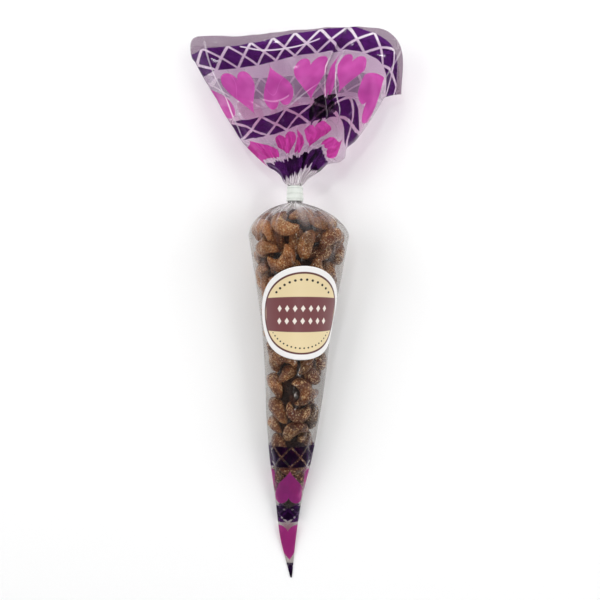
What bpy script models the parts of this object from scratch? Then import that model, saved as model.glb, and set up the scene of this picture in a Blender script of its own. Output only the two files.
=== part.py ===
"""Cone bag of glazed cashews, lying on its back with the labelled side up.

The bag is one tube of clear film, from the flat tip at -Y, over the filled cone and the
gathered neck, to the spread mouth at +Y. A white band ties the neck and a round paper
label lies on the cone. Sizes are in metres, +Z is up and the surface is at Z = 0.
"""

import math

import bmesh
import bpy
import numpy as np

MM = 0.001

# The film bag. Distances along it are counted from the tip, towards +Y.
MIDDLE_FROM_TIP = 198.5 * MM            # the bag is 395 mm long and lies about its middle
MOUTH_CENTRE_X = -0.1 * MM
SHOULDER = 248 * MM                     # where the cone is widest and its dome begins
NECK_START = 271 * MM
NECK_END = 283.3 * MM
NECK_RADIUS_BELOW = 5.0 * MM
NECK_RADIUS_ABOVE = 4.4 * MM
NECK_HEIGHT = 30 * MM
# Distance from the tip, half width and sideways shift of the taut cone, in millimetres.
CONE = (
    (0, 0.6, -3.1), (30, 5.8, -5.3), (60, 9.8, -4.8), (90, 15.2, -3.2), (120, 19.0, -1.6),
    (150, 21.6, 0.2), (185, 24.8, 1.0), (215, 29.6, 2.1), (248, 35.0, 2.6),
)
ROUNDNESS = 0.95                        # height over width of a cross-section that is full
FLAT_TIP = 0.75                         # how much of that the empty tip loses
FLAT_TIP_HALF = 0.5 * MM                # half the thickness of the tip, where the film is empty
FILLING_STARTS = 55 * MM
SETTLED = 0.06                          # share of the half height pressed flat underneath
DOME_CURVE = (1.7, 0.6)                 # powers of the dome's outline; 2 and 0.5 would be round
DOME_PLEATS = 14
DOME_PLEAT_DEPTH = 0.09                 # share of the radius

# The spread mouth is a fan about a point in the neck. Angles are degrees from +Y.
FAN_START = 282.2 * MM
FAN_REACH = 112 * MM                    # straight ahead, from the fan's point to the rim
RIM_RISE = 1.2 * MM                     # how much further the rim reaches right of the middle
RIM_RISE_ANGLE = 17
RIM_RISE_WIDTH = 9
RIM_DROP = 5 * MM                       # how much less it reaches at the left
RIM_DROPS = (8, -24)                    # angles between which it drops
RIM_CORNER = 15 * MM                    # how far the rim's left corner is rounded back
RIM_CORNER_ANGLE = -33.5
# Share of the reach and angle along the fan's left and right edge. The right one is crushed
# near the tie, and its flap turns out at the rim.
FAN_LEFT = (
    (0.04, -50), (0.075, -47), (0.12, -50), (0.155, -53), (0.33, -49), (0.44, -45.5), (0.67, -41), (0.96, -38),
    (1, -38),
)
FAN_RIGHT = (
    (0.05, 48), (0.097, 57), (0.15, 57), (0.20, 54), (0.27, 60), (0.31, 59), (0.35, 52), (0.42, 52), (0.75, 44),
    (1, 48),
)
FURTHEST = 165 * MM                     # no direction reaches further than this
FLAP_REACH = 101 * MM
FLAP_BULGE = 0.45                       # how far the film before the flap leans out to it
FLAP_BULGE_FROM = 10
RIM_BENDS = (26, 50)                    # angles between which the rim bends down to the flap
MOUTH_GAP = 25 * MM                     # between the front and back film
MOUTH_HEIGHT = 14 * MM                  # of the mouth's middle above the surface
FAN_FIRST = 0.024                       # share of the reach of the fan's first ring
FAN_SPREADS = (0.0, 0.13)               # shares between which the round neck becomes a flat fan
FOLD_WIDTH = (0.95, 0.55)               # sine of the angle where a side fold ends, neck and fan
WALL = 1.0 * MM
THINNEST_GAP = 0.3 * MM
MOUTH_FLOOR = 0.22                      # share of the reach, where the mouth's hollow ends
GATHERS = 9
GATHER_DEPTH = 0.28                     # share of the half gap
GATHERS_FADE = (0.15, 0.7)              # shares of the reach
PLEAT_PLACE = 0.68                      # across the front film, 0 left and 1 right
PLEAT_WIDTH = 0.045
PLEAT_FADES_IN = (0.3, 0.6)             # shares of the reach
PLEAT_DEPTH = 7 * MM

# The cashews, glazed ones a little plumper than plain.
NUT_COUNT = 84
NUT_SEED = 6
NUT_BEND_RADIUS = 7.8 * MM
NUT_HALF_BEND = math.radians(78)
NUT_ENDS = 1.42                         # of that half bend: how far the rounded ends reach
NUT_MIDDLE = 0.6                        # of the bend radius: where a nut's own middle lies
NUT_BLUNTNESS = 0.65                    # 1 for pointed ends, less for blunt ones
NUT_THICKNESS = (4.6 * MM, 5.3 * MM, 5.9 * MM)      # radius at the tail, middle and head
NUT_TILT = 0.35                         # in radians: how far a nut starts turned off the film
NUT_SIZES = (0.88, 1.08)
NUTS_FROM = 52 * MM
NUTS_TO = 267 * MM
FILM_SLACK = 0.5 * MM                   # between a nut and the film
FILM_PUSH = 2.5                         # how much harder the film pushes than another nut
SPREAD_STEPS = 420
START_ANGLES = (-20, 200)               # of the nuts round the cone, in degrees from +X
START_STEP = 0.618                      # from nut to nut, as a share of those angles
START_OUT = (0.65, 0.85)                # of the half width: how far out the nuts start
DRIFT = 0.04 * MM                       # outwards in one step, so that the nuts line the film
LARGEST_TURN = 0.3                      # of a nut in one step, in radians
TINY = 1e-9
CORE_DEPTH = 0.34                       # of the half width: how deep the core lies under the film
CORE_SHOWS = (-0.85, -0.45)             # sine of the angles between which the core draws back

# The label and the tie.
LABEL_DIAMETER = 65.6 * MM
LABEL_FROM_TIP = 194.4 * MM
LABEL_SHIFT = 3.9 * MM
LABEL_THICKNESS = 0.5 * MM
TIE_FROM = 272 * MM
TIE_LENGTH = 11 * MM
TIE_WALL = 1.0 * MM
TIE_TURNS = 3
GAP = 0.3 * MM
LABEL_CELLS = 12
LABEL_SLOPE = math.radians(14)          # of the cone's top line

LOOP = 48                               # points round the bag
CONE_RINGS = 18
DOME_RINGS = 6
MOUTH_RINGS = 10


def clear_scene():
    for obj in list(bpy.data.objects):
        bpy.data.objects.remove(obj, do_unlink=True)


def smoothstep(low, high, x):
    t = np.clip((x - low) / (high - low), 0, 1)
    return t * t * (3 - 2 * t)


def cone_value(distance, column):
    """Half width (1) or sideways shift (2) of the cone, on a smooth curve through its stations."""
    table = np.array(CONE) * MM
    xs, ys = table[:, 0], table[:, column]
    slopes = np.gradient(ys, xs)
    i = np.clip(np.searchsorted(xs, distance) - 1, 0, len(xs) - 2)
    step = xs[i + 1] - xs[i]
    t = np.clip((distance - xs[i]) / step, 0, 1)
    value = (1 + 2 * t) * (1 - t) ** 2 * ys[i] + t * t * (3 - 2 * t) * ys[i + 1]
    return value + step * (t * (1 - t) ** 2 * slopes[i] - t * t * (1 - t) * slopes[i + 1])


def section(distance):
    """Half width, half height, sideways shift and middle height of the film at a distance."""
    half_width = cone_value(distance, 1)
    shift = cone_value(distance, 2)
    fullness = ROUNDNESS - FLAT_TIP * np.exp(-(distance / FILLING_STARTS) ** 1.6)
    half_height = np.maximum(half_width * fullness, FLAT_TIP_HALF)
    middle = half_height * (1 - SETTLED)
    rise = np.clip((distance - SHOULDER) / (NECK_START - SHOULDER), 0, 1)
    dome = (1 - rise ** DOME_CURVE[0]) ** DOME_CURVE[1]
    narrowing = smoothstep(NECK_START, NECK_END, distance)
    neck = NECK_RADIUS_BELOW + (NECK_RADIUS_ABOVE - NECK_RADIUS_BELOW) * narrowing
    neck = neck * smoothstep(0, 0.3, rise)
    half_width = np.hypot(half_width * dome, neck)
    half_height = np.hypot(half_height * dome, neck)
    turn = smoothstep(0, 1, rise)
    shift = shift + (MOUTH_CENTRE_X - shift) * turn
    middle = middle + (NECK_HEIGHT - middle) * turn
    return half_width, half_height, shift, middle


def film_point(distance, angle, inset=0.0):
    """Point of the cone's film, with angle 0 at +X and 90 degrees on top."""
    half_width, half_height, shift, middle = section(distance)
    x = shift + (half_width - inset) * np.cos(angle)
    z = np.maximum(middle + (half_height - inset) * np.sin(angle), 0)
    return np.stack(np.broadcast_arrays(x, distance - MIDDLE_FROM_TIP, z), -1)


def label_angle(distance, across):
    """Angle on the film at a distance across from the cone's top line."""
    half_width, half_height, _, _ = section(distance)
    return math.pi / 2 - across / ((half_width + half_height) / 2)


def under_label(distance, angle):
    """1 where the film lies behind the label and is kept smooth by it, 0 elsewhere."""
    half_width, half_height, _, _ = section(distance)
    across = (math.pi / 2 - angle) * (half_width + half_height) / 2 - LABEL_SHIFT
    reach = np.hypot(across, distance - LABEL_FROM_TIP) / (LABEL_DIAMETER / 2)
    return 1 - smoothstep(0.98, 1.1, reach)


def cone_ring(distance):
    """Ring of the filled cone. Between the nuts its surface lies deeper than the film."""
    angles = np.arange(LOOP) * 2 * math.pi / LOOP
    filled = smoothstep(NUTS_FROM - 8 * MM, NUTS_FROM + 22 * MM, distance)
    filled = filled * (1 - smoothstep(SHOULDER + 4 * MM, NECK_START - 4 * MM, distance))
    above = smoothstep(*CORE_SHOWS, np.sin(angles))
    half_width, _, shift, middle = section(distance)
    inset = CORE_DEPTH * half_width * filled * above * (1 - under_label(distance, angles))
    ring = film_point(distance, angles, inset)
    rise = smoothstep(SHOULDER, NECK_START, distance) * (1 - smoothstep(NECK_START, TIE_FROM, distance))
    pleat = 1 - DOME_PLEAT_DEPTH * rise * (0.5 + 0.5 * np.cos(DOME_PLEATS * angles))
    ring[:, 0] = shift + (ring[:, 0] - shift) * pleat
    ring[:, 2] = middle + (ring[:, 2] - middle) * pleat
    return ring


def fan_edges(share):
    """Left and right edge angle of the fan, in degrees, at a share of its reach."""
    return np.interp(share, *zip(*FAN_LEFT)), np.interp(share, *zip(*FAN_RIGHT))


def fan_reach(angle):
    """Distance from the fan's point to the rim in a direction, in degrees."""
    rise = RIM_RISE * np.exp(-((angle - RIM_RISE_ANGLE) / RIM_RISE_WIDTH) ** 2)
    rise = rise - RIM_DROP * smoothstep(*RIM_DROPS, angle)
    straight_rim = np.minimum((FAN_REACH + rise) / np.cos(np.radians(angle)), FURTHEST)
    past_corner = np.clip((angle - RIM_CORNER_ANGLE) / (FAN_LEFT[-1][1] - RIM_CORNER_ANGLE), 0, 1)
    straight_rim = straight_rim - RIM_CORNER * past_corner ** 2
    to_flap = smoothstep(*RIM_BENDS, angle)
    return straight_rim + (FLAP_REACH - straight_rim) * to_flap


def mouth_ring(share, wall):
    """Ring of the spread mouth: its outer face, or with a wall thickness its inner face."""
    angles = np.arange(LOOP) * 2 * math.pi / LOOP
    side = np.where(np.sin(angles) >= 0, 1.0, -1.0)
    across = (1 + np.cos(angles)) / 2
    left, right = fan_edges(share)
    edge = math.degrees(wall / (FAN_REACH * share))
    left, right = left + edge, right - edge
    direction = left + (right - left) * across
    reach = fan_reach(direction)
    bulge = FLAP_BULGE * smoothstep(FLAP_BULGE_FROM, FAN_RIGHT[-1][1], direction)
    radius = reach * (share + bulge * share * (1 - share))
    spread = smoothstep(*FAN_SPREADS, share)
    x = MOUTH_CENTRE_X + radius * np.sin(np.radians(direction))
    x = x + (1 - spread) * NECK_RADIUS_ABOVE * np.cos(angles)
    y = FAN_START + radius * np.cos(np.radians(direction))
    half_gap = NECK_RADIUS_ABOVE + (MOUTH_GAP / 2 - NECK_RADIUS_ABOVE) * smoothstep(0, 0.8, share)
    fold_width = FOLD_WIDTH[0] + (FOLD_WIDTH[1] - FOLD_WIDTH[0]) * spread
    fold = np.minimum(np.abs(np.sin(angles)) / fold_width, 1)
    gathered = GATHER_DEPTH * (1 - smoothstep(*GATHERS_FADE, share)) * spread
    half = half_gap * fold * (1 + gathered * np.cos(2 * math.pi * GATHERS * across))
    pleat = np.exp(-((across - PLEAT_PLACE) / PLEAT_WIDTH) ** 2) * smoothstep(*PLEAT_FADES_IN, share)
    half = half - np.where(side > 0, PLEAT_DEPTH * pleat, 0)
    half = np.maximum(half - wall, THINNEST_GAP * (fold > 0.05)) if wall else half
    middle = NECK_HEIGHT + (MOUTH_HEIGHT - NECK_HEIGHT) * smoothstep(0, 1, share)
    z = np.maximum(middle + side * half, wall)
    return np.stack([x, y - MIDDLE_FROM_TIP, z], -1)


def loft(name, rings, start, end):
    """Closed mesh through rings of equal count, drawn to a point at both ends."""
    mesh = bmesh.new()
    rows = [[mesh.verts.new(p) for p in ring] for ring in rings]
    for low, high in zip(rows, rows[1:]):
        for i in range(len(low)):
            j = (i + 1) % len(low)
            mesh.faces.new((low[i], low[j], high[j], high[i]))
    for point, row in ((start, rows[0]), (end, rows[-1])):
        pole = mesh.verts.new(point)
        for i in range(len(row)):
            mesh.faces.new((pole, row[i], row[(i + 1) % len(row)]))
    bmesh.ops.recalc_face_normals(mesh, faces=mesh.faces)
    return mesh_object(name, mesh)


def mesh_object(name, mesh):
    data = bpy.data.meshes.new(name)
    bmesh.ops.triangulate(mesh, faces=mesh.faces)
    mesh.to_mesh(data)
    mesh.free()
    return bpy.data.objects.new(name, data)


def bag_body():
    """The bag without its nuts: tip, cone, dome and neck, then out and back into the mouth."""
    cone = np.linspace(1.5 * MM, SHOULDER, CONE_RINGS)
    dome = SHOULDER + (NECK_START - SHOULDER) * np.sin(np.linspace(0, math.pi / 2, DOME_RINGS + 1))[1:]
    neck = (NECK_START + 6 * MM, NECK_END)
    rings = [cone_ring(d) for d in (*cone, *dome, *neck)]
    shares = FAN_FIRST + (1 - FAN_FIRST) * np.linspace(0, 1, MOUTH_RINGS) ** 1.2
    rings += [mouth_ring(share, 0) for share in shares]
    rings += [mouth_ring(share, WALL) for share in shares[::-1] if share > MOUTH_FLOOR]
    return loft("bag", rings, film_point(0.3 * MM, 0.0, 0.6 * MM), rings[-1].mean(0))


def nut_centres():
    """Middles and radii of the five balls that stand for one nut while the nuts are spread."""
    bend = np.linspace(-NUT_HALF_BEND, NUT_HALF_BEND, 5)
    centres = NUT_BEND_RADIUS * np.stack([np.cos(bend) - NUT_MIDDLE, np.sin(bend), 0 * bend], -1)
    return centres, np.interp(bend, (bend[0], 0, bend[-1]), NUT_THICKNESS)


def flat_turns(angle, rng):
    """Rotation matrices that lay nuts flat against the film at an angle, spun at random."""
    spin = rng.uniform(0, 2 * math.pi, len(angle))
    outward = np.stack([np.cos(angle), 0 * angle, np.sin(angle)], -1)
    along = np.array([0.0, 1.0, 0.0])
    side = np.cross(along, outward)
    first = np.cos(spin)[:, None] * along + np.sin(spin)[:, None] * side
    return np.stack([first, np.cross(outward, first), outward], -1)


def small_turns(vectors):
    """Rotation matrices for small turns given as axis times angle."""
    x, y, z = vectors.T
    zero = 0 * x
    skew = np.moveaxis(np.array([[zero, -z, y], [z, zero, -x], [-y, x, zero]]), -1, 0)
    turned = np.eye(3) + skew
    u, _, vt = np.linalg.svd(turned)
    return u @ vt


def spread_nuts():
    """Place, turn and size of each nut, nudged apart inside the film until they only touch."""
    rng = np.random.default_rng(NUT_SEED)
    centres, radii = nut_centres()
    size = rng.uniform(*NUT_SIZES, NUT_COUNT)
    along = np.linspace(NUTS_FROM + 8 * MM, NUTS_TO - 8 * MM, 400)
    area = np.cumsum(np.prod(section(along)[:2], 0))
    distance = np.interp((np.arange(NUT_COUNT) + 0.5) / NUT_COUNT, area / area[-1], along)
    half_width, half_height, shift, middle = section(distance)
    turn = np.radians(np.interp(np.arange(NUT_COUNT) * START_STEP % 1, (0, 1), START_ANGLES))
    out = rng.uniform(*START_OUT, NUT_COUNT)
    place = np.stack([
        shift + out * half_width * np.cos(turn),
        distance,
        middle + out * half_height * np.sin(turn),
    ], -1)
    turns = small_turns(rng.normal(0, NUT_TILT, (NUT_COUNT, 3))) @ flat_turns(turn, rng)
    owner = np.repeat(np.arange(NUT_COUNT), len(radii))
    ball = (radii * size[:, None]).ravel()
    touching = ball[:, None] + ball[None]
    touching[owner[:, None] == owner[None]] = 0
    for _ in range(SPREAD_STEPS):
        lever = np.einsum("nij,nkj->nki", turns, centres * size[:, None, None])
        balls = (place[:, None] + lever).reshape(-1, 3)
        apart = balls[:, None] - balls[None]
        gap = np.linalg.norm(apart, axis=2) + TINY
        push = np.clip(touching - gap, 0, None) / gap
        move = 0.5 * (apart * push[..., None]).sum(1) + FILM_PUSH * keep_inside(balls, ball)
        move = move.reshape(NUT_COUNT, -1, 3)
        place = place + move.mean(1)
        torque = np.cross(lever, move).mean(1) / NUT_BEND_RADIUS ** 2
        turns = small_turns(np.clip(torque, -LARGEST_TURN, LARGEST_TURN)) @ turns
    return place, turns, size


def keep_inside(balls, radius):
    """Pushes that drift balls out to the film, and back inside it and off the bag's two ends."""
    half_width, half_height, shift, middle = section(balls[:, 1])
    radius = radius + FILM_SLACK
    x = (balls[:, 0] - shift) / np.maximum(half_width - radius, 1 * MM)
    z = (balls[:, 2] - middle) / np.maximum(half_height - radius, 1 * MM)
    out = np.hypot(x, z)
    back = np.clip(1 - 1 / np.maximum(out, TINY), 0, None)
    push = np.zeros_like(balls)
    drift = DRIFT / (np.hypot(balls[:, 0] - shift, balls[:, 2] - middle) + TINY)
    push[:, 0] = (balls[:, 0] - shift) * (drift - back)
    push[:, 2] = (balls[:, 2] - middle) * (drift - back)
    push[:, 1] = np.clip(NUTS_FROM + radius - balls[:, 1], 0, None)
    push[:, 1] -= np.clip(balls[:, 1] - (NUTS_TO - radius), 0, None)
    push[:, 2] += np.clip(radius - balls[:, 2] - push[:, 2], 0, None)
    return push


def nut_mesh(place, turn, size, index):
    """A ball stretched along an arc, thin at its tail and thick at its head, inside the film."""
    mesh = bmesh.new()
    bmesh.ops.create_uvsphere(mesh, u_segments=8, v_segments=6, radius=1)
    ball = np.array([vert.co for vert in mesh.verts])
    bend = NUT_ENDS * NUT_HALF_BEND * np.arcsin(np.clip(ball[:, 2], -1, 1)) / (math.pi / 2)
    girth = np.hypot(ball[:, 0], ball[:, 1]) + TINY
    thickness = np.interp(bend, (-NUT_HALF_BEND, 0, NUT_HALF_BEND), NUT_THICKNESS)
    thickness = thickness * girth ** (NUT_BLUNTNESS - 1)
    radius = NUT_BEND_RADIUS + ball[:, 0] * thickness
    own = np.stack([
        radius * np.cos(bend) - NUT_MIDDLE * NUT_BEND_RADIUS,
        radius * np.sin(bend),
        ball[:, 1] * thickness,
    ], -1)
    points = pressed_back(place + size * own @ turn.T)
    for vert, point in zip(mesh.verts, points):
        vert.co = point
    return mesh_object(f"nut_{index}", mesh)


def pressed_back(points):
    """Points of a nut in the bag's place, those that would pass the film moved back to it."""
    half_width, half_height, shift, middle = section(points[:, 1])
    x = points[:, 0] - shift
    z = points[:, 2] - middle
    out = np.hypot(x / (half_width - FILM_SLACK), z / (half_height - FILM_SLACK))
    back = 1 / np.maximum(out, 1)
    z = np.maximum(middle + z * back, 0)
    return np.stack([shift + x * back, points[:, 1] - MIDDLE_FROM_TIP, z], -1)


def fuse(base, pieces, collection):
    """One solid of the base and all pieces; the pieces are then removed."""
    group = bpy.data.collections.new("fused")
    collection.children.link(group)
    for piece in pieces:
        group.objects.link(piece)
    union = base.modifiers.new("fused", "BOOLEAN")
    union.operation = "UNION"
    union.operand_type = "COLLECTION"
    union.collection = group
    with bpy.context.temp_override(object=base, active_object=base):
        bpy.ops.object.modifier_apply(modifier=union.name)
    for piece in pieces:
        bpy.data.objects.remove(piece, do_unlink=True)
    bpy.data.collections.remove(group)


def keep_largest(obj):
    """Fills the hollows that fusing sealed and drops loose scraps: one outer skin stays."""
    mesh = bmesh.new()
    mesh.from_mesh(obj.data)
    bmesh.ops.triangulate(mesh, faces=mesh.faces)
    left = set(mesh.faces)
    skins = []
    while left:
        skin = set()
        edge = {next(iter(left))}
        while edge:
            skin |= edge
            shared = [e for face in edge for e in face.edges if len(e.link_faces) == 2]
            edge = {face for e in shared for face in e.link_faces} - skin
        left -= skin
        skins.append(skin)
    main = max(skins, key=len)
    bmesh.ops.delete(mesh, geom=[f for f in mesh.faces if f not in main], context="FACES")
    mesh.to_mesh(obj.data)
    mesh.free()


def label():
    """Paper disc that follows the film from side to side, a hair above it."""
    mesh = bmesh.new()
    bmesh.ops.create_grid(mesh, x_segments=LABEL_CELLS, y_segments=LABEL_CELLS, size=1)
    for vert in mesh.verts:
        across = vert.co.x * math.sqrt(1 - vert.co.y ** 2 / 2) * LABEL_DIAMETER / 2
        up = vert.co.y * math.sqrt(1 - vert.co.x ** 2 / 2) * LABEL_DIAMETER / 2
        distance = LABEL_FROM_TIP + up * math.cos(LABEL_SLOPE)
        angle = label_angle(distance, across + LABEL_SHIFT)
        vert.co = film_point(distance, angle, -GAP)
    data = bpy.data.meshes.new("label")
    mesh.to_mesh(data)
    mesh.free()
    disc = bpy.data.objects.new("label", data)
    solid = disc.modifiers.new("paper", "SOLIDIFY")
    solid.thickness = LABEL_THICKNESS
    solid.offset = 1
    return disc


def tie():
    """Band wound round the neck: a turned ring with one rounded ridge for each turn."""
    steps = TIE_TURNS * 4
    outer = []
    inner = []
    for i in range(steps + 1):
        distance = TIE_FROM + TIE_LENGTH * (1 - i / steps)
        neck = section(distance)[0]
        ridge = abs(math.sin(math.pi * TIE_TURNS * i / steps))
        outer.append((neck + GAP + TIE_WALL * (0.7 + 0.3 * ridge), 0, distance - MIDDLE_FROM_TIP))
        inner.append((neck + GAP, 0, distance - MIDDLE_FROM_TIP))
    points = outer + inner[::-steps]
    data = bpy.data.meshes.new("tie")
    edges = [(i, (i + 1) % len(points)) for i in range(len(points))]
    data.from_pydata(points, edges, [])
    ring = bpy.data.objects.new("tie", data)
    screw = ring.modifiers.new("turned", "SCREW")
    screw.steps = screw.render_steps = 24
    screw.use_merge_vertices = True
    screw.merge_threshold = 0.01 * MM
    ring.rotation_euler = (-math.pi / 2, 0, 0)
    ring.location = (MOUTH_CENTRE_X, 0, NECK_HEIGHT)
    return ring


def paint(obj, name, colour, roughness):
    """One plain material for the object. The colour is linear red, green and blue."""
    material = bpy.data.materials.new(name)
    material.use_nodes = True
    shader = material.node_tree.nodes["Principled BSDF"]
    shader.inputs["Base Color"].default_value = (*colour, 1)
    shader.inputs["Roughness"].default_value = roughness
    shader.inputs["Metallic"].default_value = 0
    obj.data.materials.clear()
    obj.data.materials.append(material)


clear_scene()
parts = bpy.data.collections.new("cashew_cone")
bpy.context.scene.collection.children.link(parts)

bag = bag_body()
parts.objects.link(bag)
nuts = [nut_mesh(p, t, s, i) for i, (p, t, s) in enumerate(zip(*spread_nuts()))]
fuse(bag, nuts, parts)
keep_largest(bag)
paint(bag, "glazed nuts in clear film", (0.25, 0.11, 0.055), 0.35)

paper = label()
parts.objects.link(paper)
paint(paper, "coated label paper", (0.78, 0.62, 0.38), 0.45)

band = tie()
parts.objects.link(band)
paint(band, "white tie band", (0.86, 0.86, 0.84), 0.4)

for piece in parts.objects:
    piece.data.shade_smooth()
    piece.data.set_sharp_from_angle(angle=math.radians(40))
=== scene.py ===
"""A cone bag of glazed cashews lying on a pale table, labelled side up.

These are the looks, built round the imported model: nuts, printed film, tie and label.
The bag lies along Y with its tip at -Y. Lengths are in metres.
"""
import functools
import math

import bpy
import numpy as np
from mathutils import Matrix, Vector, noise


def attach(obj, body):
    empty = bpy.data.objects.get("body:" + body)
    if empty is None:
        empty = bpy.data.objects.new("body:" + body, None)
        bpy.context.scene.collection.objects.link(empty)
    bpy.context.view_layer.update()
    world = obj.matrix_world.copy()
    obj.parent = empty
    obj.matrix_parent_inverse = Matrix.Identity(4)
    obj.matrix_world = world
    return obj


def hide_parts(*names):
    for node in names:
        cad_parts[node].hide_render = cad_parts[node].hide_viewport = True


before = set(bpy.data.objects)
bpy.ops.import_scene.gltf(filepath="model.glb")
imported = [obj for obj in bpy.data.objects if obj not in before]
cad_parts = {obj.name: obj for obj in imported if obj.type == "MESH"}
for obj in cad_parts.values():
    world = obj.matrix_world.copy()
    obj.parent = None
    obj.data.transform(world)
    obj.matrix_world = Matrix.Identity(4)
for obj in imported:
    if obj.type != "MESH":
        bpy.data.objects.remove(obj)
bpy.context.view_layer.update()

# Camera, table and light. The photograph looks straight down from about 0.6 m. The table is
# matt white paper, and two broad soft boxes, a small lamp and a dim room light the bag.
MM = 0.001
FRAME_PIXELS = 600
FOCAL_PIXELS = 817.2  # puts 1.42 pixels on a millimetre at the label
CAMERA_PLACE = (3.4 * MM, 5.1 * MM, 600 * MM)
TABLE_SIZE = 6.0
LAMP_SIZE = 0.06
ROOM_LIGHT = (0.6, 0.05)  # from the sides of the room, and from overhead


def colour(hex_code):
    """Linear red, green, blue and alpha of an sRGB hex value."""
    srgb = [int(hex_code[i:i + 2], 16) / 255 for i in (0, 2, 4)]
    linear = [c / 12.92 if c <= 0.04045 else ((c + 0.055) / 1.055) ** 2.4 for c in srgb]
    return (*linear, 1.0)


def add_node(tree, kind, *values, **named):
    """Adds a node such as "TexNoise". One word in capitals is a math operation, and "Mix.RGBA"
    and "VectorMath.LENGTH" name a mode too. Lower-case names are settings and capitals inputs,
    as are the values in order; each is a number, a colour, or the node or socket that feeds it."""
    if kind.isupper():
        kind = "Math." + kind
    kind, _, mode = kind.partition(".")
    made = tree.nodes.new("ShaderNode" + kind)
    if mode:
        setattr(made, "data_type" if kind == "Mix" else "operation", mode)
    for name, value in named.items():
        if name[0].islower():
            setattr(made, name, value)
    inputs = list(zip([s for s in made.inputs if s.enabled], values))
    inputs += [(made.inputs[n.replace("_", " ")], v) for n, v in named.items() if n[0].isupper()]
    for socket, value in inputs:
        if isinstance(value, bpy.types.Node):
            value = next(s for s in value.outputs if s.enabled)
        if isinstance(value, bpy.types.NodeSocket):
            tree.links.new(value, socket)
        else:
            socket.default_value = value
    return made


def new_material(name):
    """An empty node material, and the function that adds a node to it."""
    material = bpy.data.materials.new(name)
    material.use_nodes = True
    material.node_tree.nodes.clear()
    return material, functools.partial(add_node, material.node_tree)


camera_data = bpy.data.cameras.new("camera")
camera_data.sensor_fit = "HORIZONTAL"
camera_data.angle = 2 * math.atan(FRAME_PIXELS / 2 / FOCAL_PIXELS)
camera_data.clip_start = 0.02
camera = bpy.data.objects.new("camera", camera_data)
camera.location = CAMERA_PLACE
bpy.context.scene.collection.objects.link(camera)
bpy.context.scene.camera = camera
bpy.context.scene.view_settings.view_transform = "Standard"

bpy.ops.object.select_all(action="DESELECT")
bpy.ops.mesh.primitive_plane_add(size=TABLE_SIZE, location=(0, 0, 0))
table = bpy.context.object
table.name = "table"
# Uncoated card: no gloss, and a grain just over a millimetre wide, hardly seen.
paper_sheet, node = new_material("matt white card, uncoated")
place = node("TexCoord")
grain = node("TexNoise", Vector=place.outputs["Object"], Scale=900.0, Detail=3.0)
tone = node("Mix.RGBA", grain, colour("f6f6f6"), colour("fbfbfb"))
card = node("BsdfPrincipled", Base_Color=tone, Roughness=0.9, Specular_IOR_Level=0.1)
node("OutputMaterial", card)
table.data.materials.append(paper_sheet)


def soft_box(name, place, width, length, power, mirrored):
    """A soft light that faces the middle of the bag, its power in watts; mirrored when gloss
    may show its shape."""
    data = bpy.data.lights.new(name, "AREA")
    data.shape = "RECTANGLE"
    data.size = width
    data.size_y = length
    data.energy = power
    lamp = bpy.data.objects.new(name, data)
    lamp.location = place
    lamp.rotation_euler = Vector(place).to_track_quat("Z", "Y").to_euler()
    lamp.visible_glossy = mirrored
    bpy.context.scene.collection.objects.link(lamp)


soft_box("soft box left", (-1.3, 0.3, 1.1), 1.3, 1.3, 16.5, False)
soft_box("soft box right", (1.3, 0.1, 1.1), 1.3, 1.3, 15, False)
soft_box("soft box far", (0.0, 1.5, 0.9), 1.0, 1.0, 9.5, False)
soft_box("lamp by the camera", (-0.16, 0.34, 0.9), LAMP_SIZE, LAMP_SIZE, 1.0, True)
soft_box("lamp towards the tip", (0.03, -0.46, 0.95), LAMP_SIZE, LAMP_SIZE, 0.8, True)
soft_box("strip lamp", (0.5, -0.1, 1.0), 0.04, 0.9, 1.2, True)

world = bpy.data.worlds.new("room")
world.use_nodes = True
world.node_tree.nodes.clear()
node = functools.partial(add_node, world.node_tree)
place = node("TexCoord")
height = node("SeparateXYZ", place.outputs["Generated"])
overhead = node("MapRange", height.outputs["Z"], 0.0, 0.8, *ROOM_LIGHT)
node("OutputWorld", node("Background", colour("ffffff"), overhead))
bpy.context.scene.world = world

# The cashews. Whole nuts roasted in sugar, so each wears a grainy brown crust. They are
# poured in loose: a rule spreads them inside the film and nudges them until they touch.
MIDDLE_FROM_TIP = 198.5 * MM
NECK_X = -0.1 * MM  # sideways place of the neck and the mouth
SHOULDER = 248 * MM  # where the cone is widest and its dome begins
NECK_START = 271 * MM
NECK_END = 283.3 * MM
NECK_FORMS = 0.3  # of the dome's length: the neck is whole from there
NECK_RADIUS_BELOW = 5.0 * MM
NECK_RADIUS_ABOVE = 4.4 * MM
NECK_HEIGHT = 30 * MM
# Distance from the tip, half width and sideways shift of the taut cone, in millimetres.
CONE = (
    (0, 0.6, -3.1), (30, 5.8, -5.3), (60, 9.8, -4.8), (90, 15.2, -3.2), (120, 19.0, -1.6),
    (150, 21.6, 0.2), (185, 24.8, 1.0), (215, 29.6, 2.1), (248, 35.0, 2.6),
)
DOME_CURVE = (1.7, 0.6)  # powers of the dome's outline; 2 and 0.5 would be round
ROUNDNESS = 0.95  # height of the cone over its width
FLAT_TIP = 0.75  # how much of that is missing at the pressed tip
FLAT_TIP_HALF = 0.5 * MM
FILLING_STARTS = 55 * MM
FILLING_CURVE = 1.6
SETTLED = 0.06  # share of the half height pressed flat underneath
NUT_COUNT = 84
NUT_SEED = 6
NUT_BEND_RADIUS = 7.8 * MM
NUT_HALF_BEND = math.radians(78)
NUT_ENDS = 1.42  # of that half bend: how far the rounded ends reach
NUT_MIDDLE = 0.6  # of the bend radius: where a nut's own middle lies
NUT_BLUNTNESS = 0.65  # 1 for pointed ends, less for blunt ones
NUT_THICKNESS = (4.6 * MM, 5.3 * MM, 5.9 * MM)  # radius at the tail, middle and head
NUT_TILT = 0.35  # in radians: how far a nut starts turned off the film
NUT_SIZES = (0.88, 1.08)
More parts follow.
